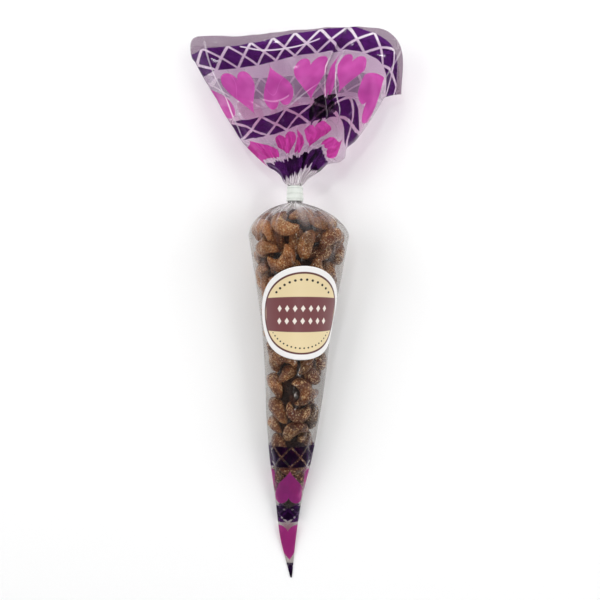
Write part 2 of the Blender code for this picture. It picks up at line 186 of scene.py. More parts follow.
NUTS_FROM = 52 * MM
NUTS_TO = 267 * MM
START_MARGIN = 8 * MM  # kept from those two ends where the nuts start
FILM_SLACK = 0.5 * MM
FILM_PUSH = 2.5  # how much harder the film pushes than another nut
SPREAD_STEPS = 420
START_ANGLES = (-20, 200)  # of the nuts round the cone, in degrees from +X
START_STEP = 0.618  # from nut to nut, as a share of those angles
START_OUT = (0.65, 0.85)  # of the half width: how far out the nuts start
DRIFT = 0.04 * MM  # outwards in one step, so that the nuts line the film
LARGEST_TURN = 0.3  # of a nut in one step, in radians
TINY = 1e-9
CRUST_LUMP = 4.5 * MM  # across one lump of crust
CRUST_GRAIN = 2.0 * MM
CRUST_HEIGHTS = (0.5 * MM, 0.35 * MM)  # how far lumps and grains stand out
CRUST_STEP = (3.7, 1.9, 5.3)  # from nut to nut in the crust's noise, so none are alike
ROAST_STEP = 0.618  # from nut to nut in roast, as a share of its full range
CORE_SHARE = 0.58  # of the half width, filled by crumbs and inner nuts
CORE_UNDERNEATH = 0.93  # the same share where the heap lies on the table
CORE_LUMP = 7 * MM
CORE_HEIGHT = 1.5 * MM
CORE_UNDERSIDE = (-0.35, -0.8)  # sine of the angle round the heap, where that begins
CORE_SHADE = -0.6  # painted shade: darker than any nut, as the heap's inside lies in shadow
PALER_FROM = 182 * MM  # nuts further from the tip than this are a little paler
PALER_PER_METRE = 5.5  # by how much, for each metre


def smoothstep(low, high, x):
    """0 up to a low value and 1 from a high one, with a smooth rise between them."""
    t = np.clip((x - low) / (high - low), 0, 1)
    return t * t * (3 - 2 * t)


def cone_value(distance, column):
    """Half width (1) or sideways shift (2) of the cone, on a smooth curve through its stations."""
    stations = np.array(CONE) * MM
    xs, ys = stations[:, 0], stations[:, column]
    slopes = np.gradient(ys, xs)
    i = np.clip(np.searchsorted(xs, distance) - 1, 0, len(xs) - 2)
    step = xs[i + 1] - xs[i]
    t = np.clip((distance - xs[i]) / step, 0, 1)
    value = (1 + 2 * t) * (1 - t) ** 2 * ys[i] + t * t * (3 - 2 * t) * ys[i + 1]
    return value + step * (t * (1 - t) ** 2 * slopes[i] - t * t * (1 - t) * slopes[i + 1])


def section(distance):
    """Half width, half height, sideways shift and middle height of the film at a distance."""
    half_width = cone_value(distance, 1)
    shift = cone_value(distance, 2)
    fullness = ROUNDNESS - FLAT_TIP * np.exp(-(distance / FILLING_STARTS) ** FILLING_CURVE)
    half_height = np.maximum(half_width * fullness, FLAT_TIP_HALF)
    middle = half_height * (1 - SETTLED)
    rise = np.clip((distance - SHOULDER) / (NECK_START - SHOULDER), 0, 1)
    dome = (1 - rise ** DOME_CURVE[0]) ** DOME_CURVE[1]
    narrowing = smoothstep(NECK_START, NECK_END, distance)
    neck = NECK_RADIUS_BELOW + (NECK_RADIUS_ABOVE - NECK_RADIUS_BELOW) * narrowing
    neck = neck * smoothstep(0, NECK_FORMS, rise)
    half_width = np.hypot(half_width * dome, neck)
    half_height = np.hypot(half_height * dome, neck)
    turn = smoothstep(0, 1, rise)
    shift = shift + (NECK_X - shift) * turn
    middle = middle + (NECK_HEIGHT - middle) * turn
    return half_width, half_height, shift, middle


def nut_balls():
    """Middles and radii of the five balls that stand for one nut while the nuts are spread."""
    bend = np.linspace(-NUT_HALF_BEND, NUT_HALF_BEND, 5)
    centres = NUT_BEND_RADIUS * np.stack([np.cos(bend) - NUT_MIDDLE, np.sin(bend), 0 * bend], -1)
    return centres, np.interp(bend, (bend[0], 0, bend[-1]), NUT_THICKNESS)


def flat_turns(angle, rng):
    """Rotation matrices that lay nuts flat against the film at an angle, spun at random."""
    spin = rng.uniform(0, 2 * math.pi, len(angle))
    outward = np.stack([np.cos(angle), 0 * angle, np.sin(angle)], -1)
    along = np.array([0.0, 1.0, 0.0])
    side = np.cross(along, outward)
    first = np.cos(spin)[:, None] * along + np.sin(spin)[:, None] * side
    return np.stack([first, np.cross(outward, first), outward], -1)


def small_turns(vectors):
    """Rotation matrices for small turns given as axis times angle."""
    x, y, z = vectors.T
    zero = 0 * x
    skew = np.moveaxis(np.array([[zero, -z, y], [z, zero, -x], [-y, x, zero]]), -1, 0)
    u, _, vt = np.linalg.svd(np.eye(3) + skew)
    return u @ vt


def keep_inside(balls, radius):
    """Pushes that drift balls out to the film, and back inside it and off the bag's two ends."""
    half_width, half_height, shift, middle = section(balls[:, 1])
    radius = radius + FILM_SLACK
    x = (balls[:, 0] - shift) / np.maximum(half_width - radius, 1 * MM)
    z = (balls[:, 2] - middle) / np.maximum(half_height - radius, 1 * MM)
    back = np.clip(1 - 1 / np.maximum(np.hypot(x, z), TINY), 0, None)
    push = np.zeros_like(balls)
    drift = DRIFT / (np.hypot(balls[:, 0] - shift, balls[:, 2] - middle) + TINY)
    push[:, 0] = (balls[:, 0] - shift) * (drift - back)
    push[:, 2] = (balls[:, 2] - middle) * (drift - back)
    push[:, 1] = np.clip(NUTS_FROM + radius - balls[:, 1], 0, None)
    push[:, 1] -= np.clip(balls[:, 1] - (NUTS_TO - radius), 0, None)
    push[:, 2] += np.clip(radius - balls[:, 2] - push[:, 2], 0, None)
    return push


def spread_nuts():
    """Place, turn and size of each nut, nudged apart inside the film until they only touch."""
    rng = np.random.default_rng(NUT_SEED)
    centres, radii = nut_balls()
    size = rng.uniform(*NUT_SIZES, NUT_COUNT)
    along = np.linspace(NUTS_FROM + START_MARGIN, NUTS_TO - START_MARGIN, 400)
    area = np.cumsum(np.prod(section(along)[:2], 0))
    distance = np.interp((np.arange(NUT_COUNT) + 0.5) / NUT_COUNT, area / area[-1], along)
    half_width, half_height, shift, middle = section(distance)
    turn = np.radians(np.interp(np.arange(NUT_COUNT) * START_STEP % 1, (0, 1), START_ANGLES))
    out = rng.uniform(*START_OUT, NUT_COUNT)
    place = np.stack([
        shift + out * half_width * np.cos(turn),
        distance,
        middle + out * half_height * np.sin(turn),
    ], -1)
    turns = small_turns(rng.normal(0, NUT_TILT, (NUT_COUNT, 3))) @ flat_turns(turn, rng)
    owner = np.repeat(np.arange(NUT_COUNT), len(radii))
    ball = (radii * size[:, None]).ravel()
    touching = ball[:, None] + ball[None]
    touching[owner[:, None] == owner[None]] = 0
    for _ in range(SPREAD_STEPS):
        lever = np.einsum("nij,nkj->nki", turns, centres * size[:, None, None])
        balls = (place[:, None] + lever).reshape(-1, 3)
        apart = balls[:, None] - balls[None]
        gap = np.linalg.norm(apart, axis=2) + TINY
        push = np.clip(touching - gap, 0, None) / gap
        move = 0.5 * (apart * push[..., None]).sum(1) + FILM_PUSH * keep_inside(balls, ball)
        move = move.reshape(NUT_COUNT, -1, 3)
        place = place + move.mean(1)
        torque = np.cross(lever, move).mean(1) / NUT_BEND_RADIUS ** 2
        turns = small_turns(np.clip(torque, -LARGEST_TURN, LARGEST_TURN)) @ turns
    return place, turns, size


def crust(point, seed):
    """Height of the sugar crust at a point on a nut."""
    lump = noise.fractal(point / CRUST_LUMP + seed, 0.9, 2.1, 2)
    grain = noise.noise(point / CRUST_GRAIN - seed)
    return CRUST_HEIGHTS[0] * lump + CRUST_HEIGHTS[1] * grain


def nut_points(ball, thicker):
    """Points of a unit ball drawn out along an arc, thin at its tail and thick at its head."""
    bend = NUT_ENDS * NUT_HALF_BEND * np.arcsin(np.clip(ball[:, 2], -1, 1)) / (math.pi / 2)
    girth = np.hypot(ball[:, 0], ball[:, 1]) + TINY
    thickness = np.interp(bend, (-NUT_HALF_BEND, 0, NUT_HALF_BEND), NUT_THICKNESS) + thicker
    thickness = thickness * girth ** (NUT_BLUNTNESS - 1)
    radius = NUT_BEND_RADIUS + ball[:, 0] * thickness
    return np.stack([
        radius * np.cos(bend) - NUT_MIDDLE * NUT_BEND_RADIUS,
        radius * np.sin(bend),
        ball[:, 1] * thickness,
    ], -1)


def pressed_back(points):
    """Points of a nut in the bag's place, those that would pass the film moved back to it."""
    half_width, half_height, shift, middle = section(points[:, 1])
    x = points[:, 0] - shift
    z = points[:, 2] - middle
    out = np.hypot(x / (half_width - FILM_SLACK), z / (half_height - FILM_SLACK))
    back = 1 / np.maximum(out, 1)
    z = np.maximum(middle + z * back, FILM_SLACK)
    return np.stack([shift + x * back, points[:, 1] - MIDDLE_FROM_TIP, z], -1)


def set_points(obj, points, roast_and_shade):
    """Moves the vertices of a mesh and stores how darkly its nut is roasted, or on the core its
    painted shade.
    """
    obj.data.vertices.foreach_set("co", points.ravel())
    stored = obj.data.attributes.new("roast_and_shade", "FLOAT", "POINT")
    stored.data.foreach_set("value", np.full(len(points), roast_and_shade, np.float32))


bpy.ops.object.select_all(action="DESELECT")
bpy.ops.mesh.primitive_uv_sphere_add(segments=32, ring_count=30, radius=1)
first = bpy.context.object
ball = np.array([vert.co for vert in first.data.vertices])
nut_places, nut_turns, nut_sizes = spread_nuts()
nuts = [first] + [bpy.data.objects.new("nut", first.data.copy()) for _ in range(NUT_COUNT - 1)]
for nut in nuts[1:]:
    bpy.context.scene.collection.objects.link(nut)
for i, nut in enumerate(nuts):
    seed = Vector(CRUST_STEP) * i
    thicker = np.array([crust(Vector(point), seed) for point in nut_points(ball, 0)])
    points = nut_places[i] + nut_sizes[i] * nut_points(ball, thicker) @ nut_turns[i].T
    lighter = PALER_PER_METRE * (nut_places[i][1] - PALER_FROM)
    set_points(nut, pressed_back(points), (i * ROAST_STEP) % 1 + lighter)

# The core fills the heap's middle with a dark glaze: painted shade, as the nuts deep inside lie in
# shadow.
bpy.ops.mesh.primitive_uv_sphere_add(segments=64, ring_count=96, radius=1)
core = bpy.context.object
ball = np.array([vert.co for vert in core.data.vertices])
girth = np.hypot(ball[:, 0], ball[:, 1])
distance = np.interp(ball[:, 2], (-1, 1), (NUTS_FROM, NUTS_TO))
half_width, half_height, shift, middle = section(distance)
lump = np.array([noise.noise(Vector(point)) for point in np.stack([
    ball[:, 0] * half_width, distance, ball[:, 1] * half_height], -1) / CORE_LUMP])
underneath = smoothstep(*CORE_UNDERSIDE, ball[:, 1] / (girth + TINY))
share = CORE_SHARE + (CORE_UNDERNEATH - CORE_SHARE) * underneath + CORE_HEIGHT * lump / half_width
unit = ball / np.maximum(girth, TINY)[:, None] * np.sqrt(girth)[:, None]
points = np.stack([
    shift + unit[:, 0] * share * half_width, distance - MIDDLE_FROM_TIP,
    np.maximum(middle + unit[:, 1] * share * half_height, FILM_SLACK),
], -1)
set_points(core, points, CORE_SHADE)
for nut in nuts:
    nut.select_set(True)
core.select_set(True)
bpy.context.view_layer.objects.active = first
bpy.ops.object.join()
cashews = bpy.context.object
cashews.name = "cashews"
cashews.data.flip_normals()  # two axes of each ball are swapped above, which turns it inside out
bpy.ops.object.shade_smooth()

# Burnt-sugar glaze over roasted nut: dark amber where it ran smooth, tan where the sugar
# stayed in grains, nearly black in the pits, with small wet glints.
LUMP_PATCH = 8 * MM
GRAIN = 1.9 * MM
FINE_GRAIN = 1.3 * MM
ROAST_RAMP = ((0.2, "24120a"), (0.42, "502a1a"), (0.65, "7e4a2e"), (0.95, "c47c42"))
# Some nuts turn olive brown and some reddish: patch, where it begins, how strong, which hue.
HUES = ((14 * MM, 0.45, 0.4, "7c5c34"), (17 * MM, 0.5, 0.6, "6c2c1a"))
glaze, node = new_material("burnt sugar glaze, pan roasted")
place = node("TexCoord").outputs["Object"]
roast_and_shade = node("Attribute", attribute_name="roast_and_shade").outputs["Fac"]
on_nuts = node("MapRange", roast_and_shade, -0.55, -0.45)  # 0 on the core
blotch = node("TexNoise", Vector=place, Scale=1 / LUMP_PATCH, Detail=3.0, Roughness=0.6)
grain = node("TexVoronoi", Vector=place, Scale=1 / GRAIN, feature="F1")
fine = node("TexNoise", Vector=place, Scale=1 / FINE_GRAIN, Detail=4.0, Roughness=0.7)
tone = node("ValToRGB", node("MULTIPLY_ADD", roast_and_shade, 0.42, blotch))
stops = tone.color_ramp.elements
stops[0].position, stops[1].position = ROAST_RAMP[0][0], ROAST_RAMP[-1][0]
for position, _ in ROAST_RAMP[1:-1]:
    stops.new(position)
for stop, (_, shade) in zip(stops, ROAST_RAMP):
    stop.color = colour(shade)
for patch, begins, strength, shade in HUES:
    hue = node("TexNoise", Vector=place, Scale=1 / patch, Detail=1.0)
    hue = node("MULTIPLY", node("MapRange", hue, begins, 0.62, 0.0, strength), on_nuts)
    tone = node("Mix.RGBA", hue, tone, colour(shade))
sugar = node("MULTIPLY_ADD", blotch, 0.25, fine)
sugar = node("MULTIPLY", node("MapRange", sugar, 0.69, 0.73, 0.0, 0.95), on_nuts)
tone = node("Mix.RGBA", sugar, tone, colour("ecc996"))
pits = node("MapRange", fine, 0.33, 0.42, 0.85, 0.0)
tone = node("Mix.RGBA", pits, tone, colour("2c170e"))
rise = node("MULTIPLY_ADD", grain.outputs["Distance"], -0.5, fine)
bump = node("Bump", Height=rise, Strength=1.0, Distance=1.1 * MM)
dull = node("MapRange", fine, 0.35, 0.65, 0.18, 0.55)
coat = node(
    "BsdfPrincipled", Base_Color=tone, Roughness=dull, Normal=bump, IOR=1.5,
    Coat_Weight=0.8, Coat_Roughness=0.18,
)
node("OutputMaterial", coat)
cashews.data.materials.append(glaze)
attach(cashews, "root")
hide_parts("bag")

# The bag. One tube of clear polypropylene film, printed on its outside, full below the tie
# and spread flat above it. It clings to the nuts, gathers at the neck and creases.
FILM_THICKNESS = 0.12 * MM  # thicker than the real 0.04 mm, so its faces stay apart
AROUND = 256
CONE_ROWS = 72
DOME_ROWS = 24
NECK_ROWS = 8
MOUTH_ROWS = 82
DENT_SHARE = 0.45  # of the gap behind the film that it sinks into
DENT_LIMIT = 2.2 * MM
DENTS_FADE = (-0.8, -0.3)  # sine of the angle round the cone, towards the table
NUT_CLEARANCE = 0.9 * MM  # kept from the nuts where the film dents or pleats
FILLING_ENDS = 6 * MM  # over which the dents fade by the filling's two ends
LABEL_DIAMETER = 65.6 * MM
LABEL_FROM_TIP = 194.4 * MM
LABEL_SHIFT = 3.9 * MM
PAST_LABEL = (1.0, 1.12)  # of its radius: the label holds the film flat
PLEATS = 23  # round the dome
FINE_PLEATS = 52  # round the neck
PLEATS_FROM = SHOULDER - 30 * MM
FINE_PLEATS_FROM = NECK_START - 12 * MM
DEEPEST_PLEAT = 2.0 * MM
# The mouth is a fan. Its reach runs from a point by the tie to the rim, and a direction is
# in degrees from +Y to the right. Shares are of the reach, places across run from 0 to 1.
FAN_START = 282.2 * MM
FAN_REACH = 112 * MM  # straight on to the rim
FURTHEST = 165 * MM  # the most that the straight rim reaches
RIM_RISE = 1.2 * MM  # a low hump of the rim
RIM_RISE_ANGLE = 17
RIM_RISE_WIDTH = 9
RIM_DROP = 5 * MM  # how much less the rim's left part reaches
RIM_DROPS = (8, -24)
RIM_CORNER = 15 * MM  # how far the left corner is rounded back
RIM_CORNER_ANGLE = -33.5
FLAP_REACH = 101 * MM  # to the rim of the flap at the right
FLAP_BULGE = 0.45
FLAP_BULGE_FROM = 10
RIM_BENDS = (26, 50)  # from the straight rim to the flap's
# Share and direction along the fan's left and right edge. The right one is crushed near the
# tie, and its flap turns out at the rim.
FAN_LEFT = (
    (0.04, -50), (0.075, -47), (0.12, -50), (0.155, -53), (0.33, -49), (0.44, -45.5),
    (0.67, -41), (0.96, -38), (1, -38),
)
FAN_RIGHT = (
    (0.05, 48), (0.097, 57), (0.15, 57), (0.20, 54), (0.27, 60), (0.31, 59), (0.35, 52),
    (0.42, 52), (0.75, 44), (1, 48),
)
FAN_FIRST = 0.024  # share of the first row past the neck
FAN_SPREADS = (0.0, 0.13)  # from the round neck to the flat fan
MOUTH_GAP = 25 * MM  # between the two films at the rim
MOUTH_HEIGHT = 14 * MM  # of the middle between them over the table
LEFT_CREASE = 0.062  # place across where the front film turns down
RIGHT_CREASE = (0.02, 0.1)  # the same from the right, and how much more at the rim
CRUMPLE = 1.6 * MM  # height of the gathers by the tie
CRUMPLE_SHARES = (0.02, 0.16, 0.28, 0.62)  # where they rise and where they die out
PLEAT_DEPTH = 5 * MM
PLEAT_SHARES = (0.3, 0.5, 0.85, 1.0)
# Edges of the pleat: the place across by the rim, how strongly it bends to the right nearer
# the tie, and the share where that bend begins.
PLEAT_LEFT = (0.645, 0.62, 0.75)
PLEAT_RIGHT = (0.70, 0.90, 0.72)
SWAY = 1.5 * MM  # height of the front film's broad waves
WRINKLE = 22 * MM  # across one wrinkle of the front film
WRINKLE_HEIGHT = 1.3 * MM
# The print. Its unit is a millimetre of the spread mouth; on the cone it is smaller.
PRINT_PERIOD = 50.6  # from one lattice band to the next
BAND_HEIGHT = 16.2
CELL_WIDTH = 15.6
LINE_WIDTH = 1.65
HEART_PITCH = 26.6
CONE_PRINT = 0.86
CONE_BANDS = (-5.0, 10.8, 42.6, 54.7, 85.0, 100.5)  # edges of the cone's bands from the tip
MOUTH_BAND = 7  # the band above the tie; the cone's middle band is number 0
MOUTH_BANDS = (0, 0.03, 0.165, 0.378, 0.504, 0.832, 0.983, 1.1)  # shares of their edges
PRINT_ENDS = (-16, 26)  # print by the tie and past the rim, from the end bands
# Middle and half width of each heart across the fan: in the row by the rim, and in the
# crushed row by the tie. A heart that lies in a fold looks narrow.
HEARTS_HIGH = (
    (-0.20, 0.07), (-0.02, 0.08), (0.146, 0.08), (0.36, 0.10), (0.56, 0.09), (0.68, 0.024),
    (0.765, 0.07), (0.905, 0.085), (1.10, 0.07),
)
HEARTS_LOW = (
    (-0.34, 0.05), (-0.18, 0.05), (0.085, 0.165), (0.355, 0.12), (0.515, 0.055),
    (0.66, 0.095), (0.86, 0.10), (1.06, 0.05), (1.20, 0.05),
)
FIRST_HEART = -3
HEART_HALF_PITCH = 0.496  # just under a half, so that neighbours keep apart
LOW_ROW = 0.44  # share where the low row's places end
BACK_HEARTS = 7  # pitches across the back film
BAND_2_CELL = 0.20  # one lattice cell in the middle band, across the fan
# Distance along the rim in a direction, in millimetres, and one lattice cell there.
RIM_ARC = ((-38, -88), (0, 0), (25, 54), (48, 106))
RIM_CELL = 19.6
CELL_SHARES = (0.22, 0.66)  # where the middle band's cells begin and the rim's
BACK_LIFT = (-0.19, -0.25)  # at its left and right: the back film hangs lower
ASKEW = 0.08  # how much further out the band by the tie lies at the right
RAGGED = 0.016  # height of that band's teeth
# How much further out the mouth's bands lie in a direction, because the bag was cut askew.
PRINT_LIFT = ((-36, -0.07), (0, 0.0), (20, 0.02), (33, 0.0), (42, -0.03))
RIM_LIFT = ((20, 0.0), (30, -0.04))  # further lift of the rim's band alone
CRUSHED = (0.67, 0.46)  # place across and share of the crushed patch, where painted shade darkens the film
CRUSHED_SIZE = (0.09, 0.085)
CRUSHED_FADES = 1.6  # of that size: where nothing is crushed any more
BACK_INK = 0.45  # how much of the back film's ink shows
BACK_INK_BY_TIE = 0.3  # and of that by the tie
PAST_TIE = (0.3, 0.45)  # where the crushed film gives way to smooth film


def fan_edges(share):
    """Left and right edge angle of the fan, in degrees, at a share of its reach."""
    return np.interp(share, *zip(*FAN_LEFT)), np.interp(share, *zip(*FAN_RIGHT))


def corner(angle):
    """How far the rim's left corner is rounded back in a direction, in degrees."""
    past = (angle - RIM_CORNER_ANGLE) / (FAN_LEFT[-1][1] - RIM_CORNER_ANGLE)
    return RIM_CORNER * np.clip(past, 0, 1) ** 2


def fan_reach(angle):
    """Distance from the fan's point to the rim in a direction, in degrees."""
    rise = RIM_RISE * np.exp(-((angle - RIM_RISE_ANGLE) / RIM_RISE_WIDTH) ** 2)
    rise = rise - RIM_DROP * smoothstep(*RIM_DROPS, angle)
    straight_rim = np.minimum((FAN_REACH + rise) / np.cos(np.radians(angle)), FURTHEST)
    straight_rim = straight_rim - corner(angle)
    to_flap = smoothstep(*RIM_BENDS, angle)
    return straight_rim + (FLAP_REACH - straight_rim) * to_flap


def zigzag(x):
    """Sharp waves between -1 and 1, one for each whole number."""
    return 4 * np.abs(x - np.floor(x + 0.5)) - 1


def between(shares, share):
    """1 between the middle two of four shares, fading to 0 at the outer two."""
    return smoothstep(*shares[:2], share) * (1 - smoothstep(*shares[2:], share))


def cone_film(around, distance):
    """Points of the filled cone's film, dented between the nuts and pleated at the neck."""
    angle = -math.pi / 2 - 2 * math.pi * around
    half_width, half_height, shift, middle = section(distance)
    x = shift + half_width * np.cos(angle)
    z = middle + half_height * np.sin(angle)
    points = np.stack([x, distance, z], -1)
    gap = np.full(len(points), np.inf)
    centres, radii = nut_balls()
    for place, turn, size in zip(nut_places, nut_turns, nut_sizes):
        for centre, radius in zip(centres, radii):
            ball = place + turn @ (centre * size)
            gap = np.minimum(gap, np.linalg.norm(points - ball, axis=1) - radius * size)
    dent = np.minimum(DENT_SHARE * np.clip(gap - FILM_SLACK, 0, None), DENT_LIMIT)
    across = (angle + 1.5 * math.pi) * (half_width + half_height) / 2 - LABEL_SHIFT
    label_reach = np.hypot(across, distance - LABEL_FROM_TIP) / (LABEL_DIAMETER / 2)
    filled = smoothstep(NUTS_FROM - FILLING_ENDS, NUTS_FROM + FILLING_ENDS, distance)
    filled = filled * (1 - smoothstep(SHOULDER, NECK_START - FILLING_ENDS, distance))
    dent = dent * filled * smoothstep(*PAST_LABEL, label_reach)
    dent = dent * smoothstep(*DENTS_FADE, np.sin(angle))
    pleating = smoothstep(PLEATS_FROM, NECK_START, distance) ** 1.5
    wander = 0.35 * np.sin(3 * angle + 1) + 0.2 * np.sin(7 * angle)
    fine = 0.4 * smoothstep(FINE_PLEATS_FROM, NECK_START, distance)
    pleat = 0.2 + 0.5 * zigzag(PLEATS * around + wander)
    pleat = pleat + fine * zigzag(FINE_PLEATS * around + 2 * wander)
    deepest = np.minimum(0.1 * half_width + 0.4 * MM, DEEPEST_PLEAT)
    on_top = smoothstep(0.1, 0.5, np.abs(np.sin(angle)))
    on_top = on_top + (1 - on_top) * smoothstep(SHOULDER, NECK_START, distance)
    inward = (dent + pleat * pleating * deepest) * on_top
    inward = np.minimum(inward, np.clip(gap - NUT_CLEARANCE, 0, None))
    inward = np.minimum(inward, 0.45 * half_width)
    x = shift + (half_width - inward) * np.cos(angle)
    z = np.maximum(middle + (half_height - inward) * np.sin(angle), 0.1 * MM)
    return np.stack([x, distance - MIDDLE_FROM_TIP, z], -1)


def fan_across(around):
    """Whether a point is on the mouth's front film, and its place across, 0 left and 1 right."""
    front = (around >= 0.25) & (around <= 0.75)
    behind = np.where(around > 0.75, 2.5 - 2 * around, 0.5 - 2 * around)
    return front, np.where(front, (around - 0.25) * 2, behind)


def pleat_place(across, share):
    """Place across the front film's pleat, 0 at its left edge and 1 at its right one."""
    left, right = (
        place + bend * np.maximum(begins - share, 0) ** 2
        for place, bend, begins in (PLEAT_LEFT, PLEAT_RIGHT)
    )
    return (across - left) / (right - left)


def mouth_film(around, share):
    """Points of the spread mouth, an open fan of two films with creased edges and gathers."""
    front, across = fan_across(around)
    side = np.where(front, 1.0, -1.0)
    left, right = fan_edges(share)
    direction = left + (right - left) * across
    bulge = FLAP_BULGE * smoothstep(FLAP_BULGE_FROM, FAN_RIGHT[-1][1], direction)
    radius = fan_reach(direction) * (share + bulge * share * (1 - share))
    spread = smoothstep(*FAN_SPREADS, share)
    x = NECK_X + radius * np.sin(np.radians(direction))
    x = x + (1 - spread) * NECK_RADIUS_ABOVE * (2 * across - 1)
    y = FAN_START + radius * np.cos(np.radians(direction))
    half_gap = NECK_RADIUS_ABOVE + (MOUTH_GAP / 2 - NECK_RADIUS_ABOVE) * smoothstep(0, 0.8, share)
    round_fold = np.minimum(2 * np.sqrt(across * (1 - across)) / (0.95 - 0.4 * spread), 1)
    right_crease = RIGHT_CREASE[0] + RIGHT_CREASE[1] * smoothstep(0.6, 1, share)
    crisp = np.minimum(np.minimum(across / LEFT_CREASE, (1 - across) / right_crease), 1)
    fold = round_fold + (np.where(front, crisp, round_fold) - round_fold) * spread
    warp = 0.25 * np.sin(9 * across + 14 * share) + 0.12 * np.sin(23 * across - 20 * share)
    gathers = zigzag(7 * across + warp) + 0.6 * zigzag(15 * across - 2 * warp + 5 * share) \
        + 0.35 * zigzag(31 * across + 9 * share)
    crumple = between(CRUMPLE_SHARES, share) * CRUMPLE * gathers
    half = half_gap * fold + crumple * np.minimum(fold * 2, 1)
    in_pleat = pleat_place(across, share)
    groove = np.where((in_pleat > 0) & (in_pleat < 1), 1 - in_pleat, 0)
    half = half - np.where(front, PLEAT_DEPTH * groove * between(PLEAT_SHARES, share), 0)
    sway = SWAY * np.sin(5.5 * across + 3 * share) * smoothstep(0.4, 1, share)
    ridge = [abs(noise.noise(Vector((px, py, 0)) / WRINKLE)) for px, py in zip(x, y)]
    sway = sway + WRINKLE_HEIGHT * (0.5 - 3 * np.array(ridge)) * smoothstep(0.15, 0.4, share)
    middle = NECK_HEIGHT + (MOUTH_HEIGHT - NECK_HEIGHT) * smoothstep(0, 1, share)
    z = np.maximum(middle + side * half + np.where(front, sway, 0), 0.2 * MM)
    return np.stack([x, y - MIDDLE_FROM_TIP, z], -1)


def band_edges(first, last):
    """Places on the print of the edges of its bands, counted from a first to a last one."""
    half = BAND_HEIGHT / 2
    return [i * PRINT_PERIOD + side * half for i in range(first, last + 1) for side in (-1, 1)]


def cone_print(around, distance):
    """Place on the print of the cone's film, across from the front middle and along, and the
    count of lattice cells across."""
    half_width, half_height, _, _ = section(distance)
    across = 2 * math.pi * (around - 0.5) * (half_width + half_height) / 2
    beyond = np.maximum(distance / MM - CONE_BANDS[-1], 0)
    u = across / MM / CONE_PRINT
    v = np.interp(distance / MM, CONE_BANDS, band_edges(-1, 1)) + beyond
    return u, v, u / CELL_WIDTH


def heart_places(hearts, across):
    """Place on the print, in heart pitches, where the hearts lie across the fan as given."""
    sides = (-1, 1)
    edges = [middle + side * half for middle, half in hearts for side in sides]
    pitches = [i + side * HEART_HALF_PITCH for i in range(len(hearts)) for side in sides]
    return np.interp(across, edges, pitches) + FIRST_HEART


def mouth_print(around, share):
    """The same for the spread mouth, where the hearts stand one pitch apart."""
    front, across = fan_across(around)
    left, right = fan_edges(share)
    direction = left + (right - left) * across
    high = heart_places(HEARTS_HIGH, across)
    places = np.where(share < LOW_ROW, heart_places(HEARTS_LOW, across), high)
    edge = heart_places(HEARTS_HIGH, np.array([0.0, 1.0]))
    back_width = BACK_HEARTS * (1 - across)
    beyond = np.where(around > 0.75, edge[1] + back_width, edge[0] - BACK_HEARTS + back_width)
    u = np.where(front, places, beyond) * HEART_PITCH
    lift = np.interp(direction, *zip(*PRINT_LIFT)) * smoothstep(0.1, 0.4, share)
    low = 1 - smoothstep(0.15, 0.3, share)
    teeth = zigzag(9 * across + 0.3 * np.sin(17 * across)) + 0.6 * zigzag(23 * across)
    lift = lift + low * (ASKEW * across + RAGGED * teeth)
    lift = lift + np.interp(direction, *zip(*RIM_LIFT)) * smoothstep(0.65, 0.8, share)
    back_lift = np.interp(across, (0, 1), BACK_LIFT) * smoothstep(0, 0.3, share)
    lift = np.where(front, lift, back_lift)
    print_share = share / (1 + corner(direction) / fan_reach(direction)) - lift
    edges = band_edges(0, 2)
    edges = [PRINT_ENDS[0]] + edges + [2 * PRINT_PERIOD + PRINT_ENDS[1]]
    along_rim = np.interp(direction, *zip(*RIM_ARC)) / RIM_CELL
    cells = np.where(front, across, -1 - across) / BAND_2_CELL
    cells = np.where(print_share > CELL_SHARES[1], along_rim, cells)
    cells = np.where(print_share < CELL_SHARES[0], 0.0, cells)
    return u, MOUTH_BAND * PRINT_PERIOD + np.interp(print_share, MOUTH_BANDS, edges), cells


def new_sheet(name, across, along):
    """A flat grid of quads, and the places of its corners, -1 to 1 both ways."""
    bpy.ops.object.select_all(action="DESELECT")
    bpy.ops.mesh.primitive_grid_add(x_subdivisions=across, y_subdivisions=along, size=2)
    sheet = bpy.context.object
    sheet.name = name
    return sheet, np.array([vert.co for vert in sheet.data.vertices])


def set_print(sheet, places):
    """Stores the place of each corner on the print, in millimetres, as a UV map."""
    corners = np.zeros(len(sheet.data.loops), np.int64)
    sheet.data.loops.foreach_get("vertex_index", corners)
    sheet.data.uv_layers[0].name = "print"
    sheet.data.uv_layers["print"].data.foreach_set("uv", places[corners].ravel())


def close_seam(sheet, seam, distance):
    """Merges the corners on a seam that lie within a distance of each other."""
    bpy.ops.object.mode_set(mode="EDIT")
    bpy.ops.mesh.select_all(action="DESELECT")
    bpy.ops.object.mode_set(mode="OBJECT")
    sheet.data.vertices.foreach_set("select", seam)
    bpy.ops.object.mode_set(mode="EDIT")
    bpy.ops.mesh.remove_doubles(threshold=distance)
    bpy.ops.object.mode_set(mode="OBJECT")


def thicken(sheet, thickness, **settings):
    """Gives a smooth sheet its thickness."""
    bpy.ops.object.shade_smooth()
    wall = sheet.modifiers.new("wall", "SOLIDIFY")
    wall.thickness = thickness
    for name, value in settings.items():
        setattr(wall, name, value)
    bpy.ops.object.modifier_apply(modifier=wall.name)


